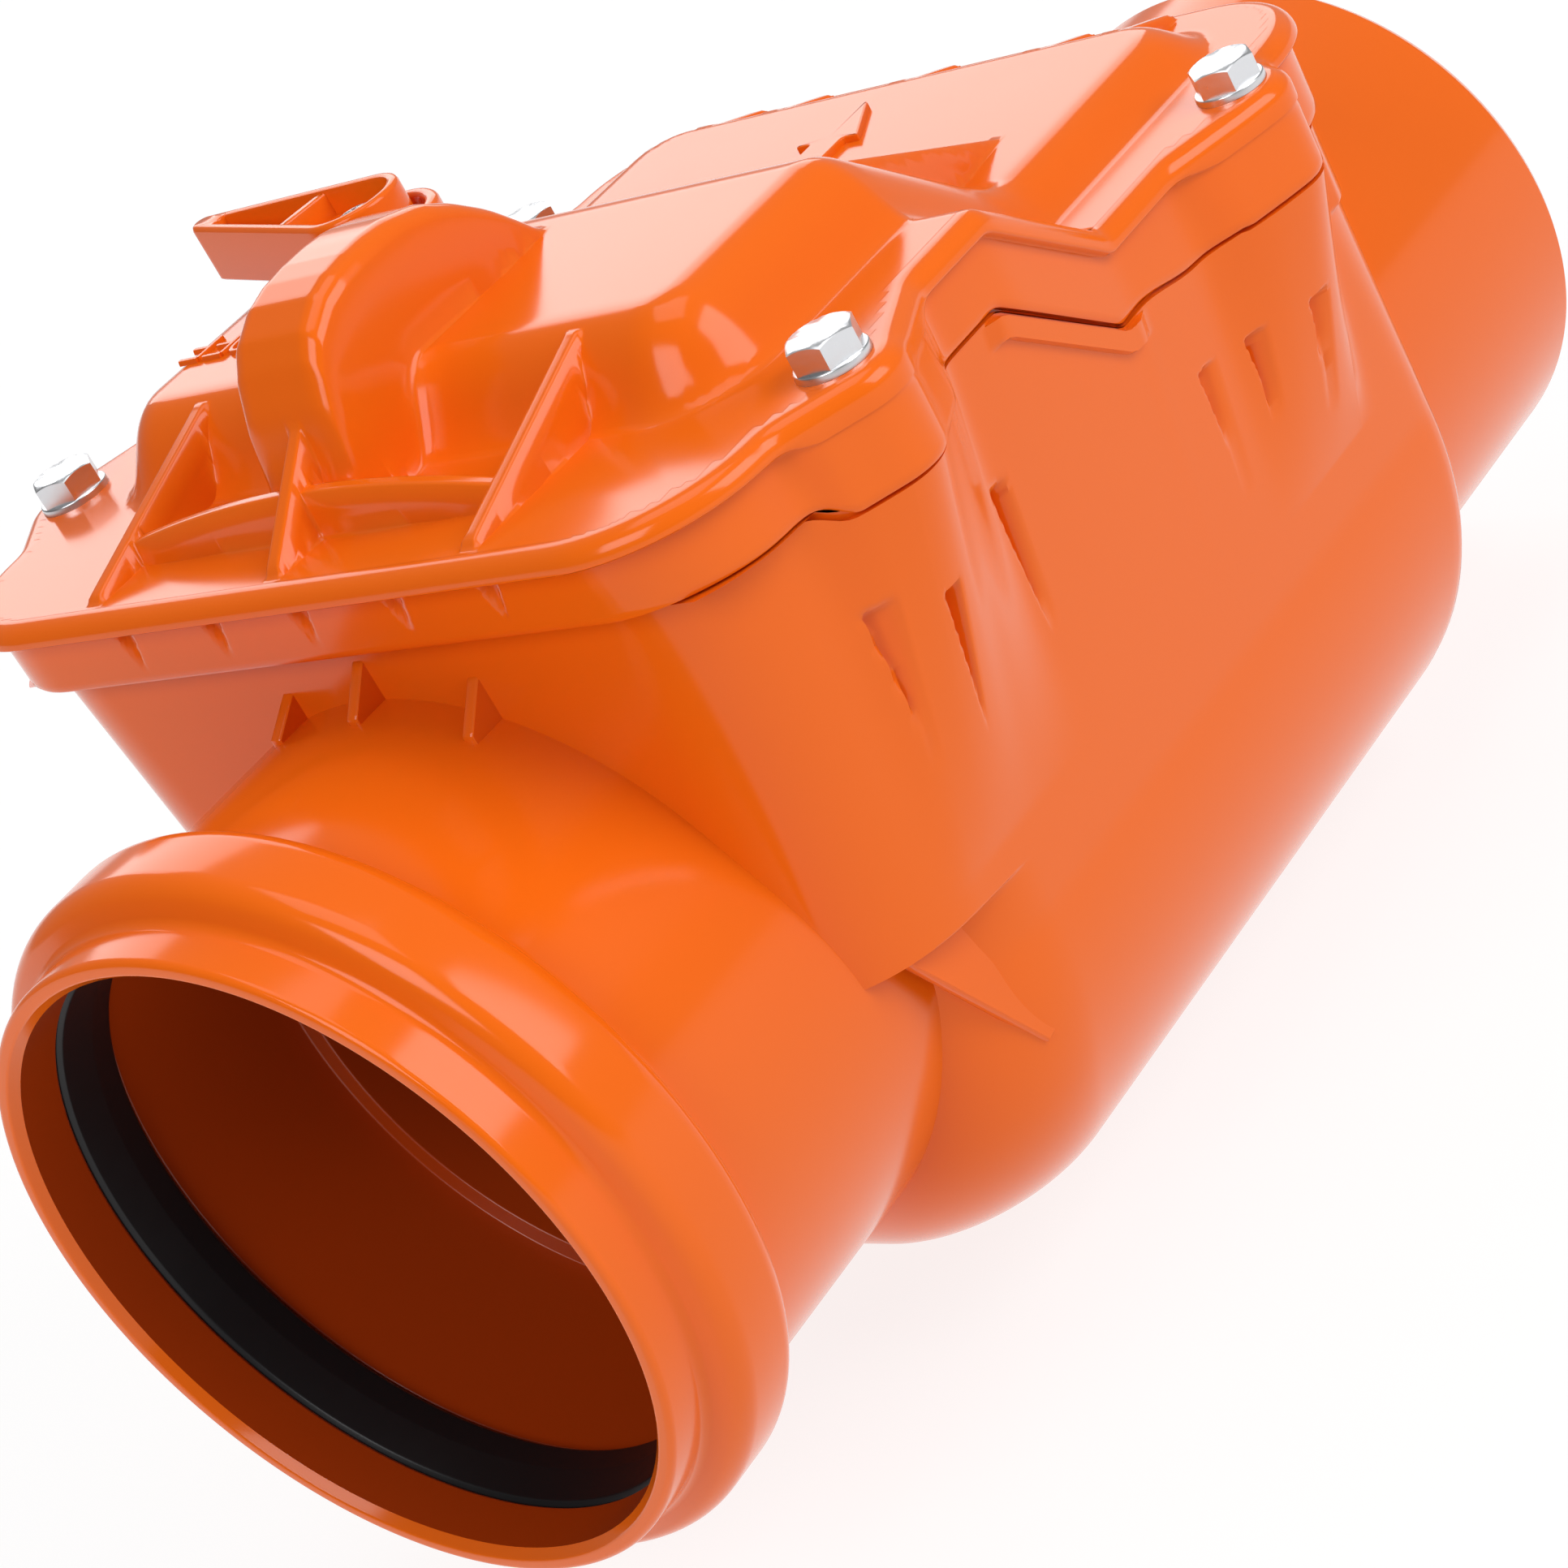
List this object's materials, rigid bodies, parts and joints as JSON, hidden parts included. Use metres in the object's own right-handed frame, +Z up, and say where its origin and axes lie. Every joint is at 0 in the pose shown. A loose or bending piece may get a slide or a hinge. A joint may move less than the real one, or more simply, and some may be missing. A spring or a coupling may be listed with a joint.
{
  "type": "backwater valve",
  "caption": "Orange plastic drain backwater valve with a sealed socket inlet, plain spigot outlet, bolted stepped cover, hinged flap and a turning lock lever.",
  "frame": {"origin": "centre of the socket mouth on the inlet axis", "axes": "+X downstream along the pipe to the outlet spigot, +Z up through the cover, +Y to the left when looking downstream"},
  "size_m": [0.3115, 0.1878, 0.1964],
  "materials": {
    "orange_plastic": "glossy moulded",
    "black_rubber": "smooth lubricated",
    "zinc_steel": "zinc plated",
    "stainless_steel": "satin",
    "brass": "turned",
    "grey_plastic": "moulded",
    "white_plastic": "moulded"
  },
  "bodies": {
    "housing": {"valve_body": "orange_plastic", "cover": "orange_plastic", "cover_gasket": "black_rubber", "cover_bolts": "zinc_steel", "bolt_washers": "zinc_steel", "thread_inserts": "brass", "socket_seal": "black_rubber", "hinge_pin": "stainless_steel", "pin_clips": "stainless_steel"},
    "flap": {"flap_plate": "grey_plastic", "flap_seal": "black_rubber", "seal_retainer": "stainless_steel", "retainer_screws": "stainless_steel", "flap_hanger": "grey_plastic", "hanger_screws": "stainless_steel", "hinge_bushes": "white_plastic"},
    "lock_lever": {"lever": "orange_plastic", "lever_collar": "orange_plastic", "lever_screw": "zinc_steel", "lock_spindle": "stainless_steel", "spindle_o_rings": "black_rubber", "lock_finger": "grey_plastic", "finger_screw": "stainless_steel"}
  },
  "joints": [
    {"name": "flap_swing", "type": "hinge", "parent": "housing", "child": "flap", "pos_m": [0.095, 0.0015, 0.078], "axis": [0, -1, 0], "range_deg": [0, 60]},
    {"name": "lever_turn", "type": "hinge", "parent": "housing", "child": "lock_lever", "pos_m": [0.127, 0.0245, 0.1], "axis": [0, 0, 1], "range_deg": [0, 98]}
  ]
}
